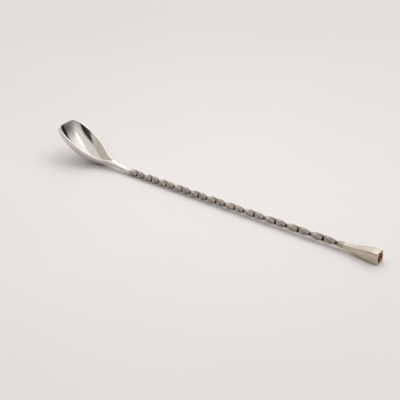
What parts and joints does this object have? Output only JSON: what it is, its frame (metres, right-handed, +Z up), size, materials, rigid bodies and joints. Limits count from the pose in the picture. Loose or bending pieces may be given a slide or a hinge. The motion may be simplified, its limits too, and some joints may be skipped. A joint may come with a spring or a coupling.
{
  "type": "bar spoon",
  "caption": "Long bar spoon with a tilted scoop-shaped bowl, a twisted flat-bar stem and a flared square end set with a round red disc.",
  "frame": {"origin": "on the surface the spoon lies on, under the middle of its overall length and width", "axes": "+X along the stem from the bowl towards the flared end, +Z up with the bowl's mouth upwards, +Y across the bowl"},
  "size_m": [0.28, 0.026, 0.026],
  "materials": {
    "polished_steel": "mirror polished stainless steel",
    "stem_steel": "polished twisted stainless steel bar",
    "end_steel": "polished stainless steel",
    "red_resin": "glossy dark red cast resin",
    "clear_glue": "set adhesive film, hidden",
    "braze_alloy": "silver brazing alloy, hidden"
  },
  "bodies": {
    "root": {"bowl": "polished_steel", "twisted_stem": "stem_steel", "end_flare": "end_steel", "end_disc": "red_resin", "disc_glue": "clear_glue", "neck_braze": "braze_alloy", "end_braze": "braze_alloy"}
  },
  "joints": []
}
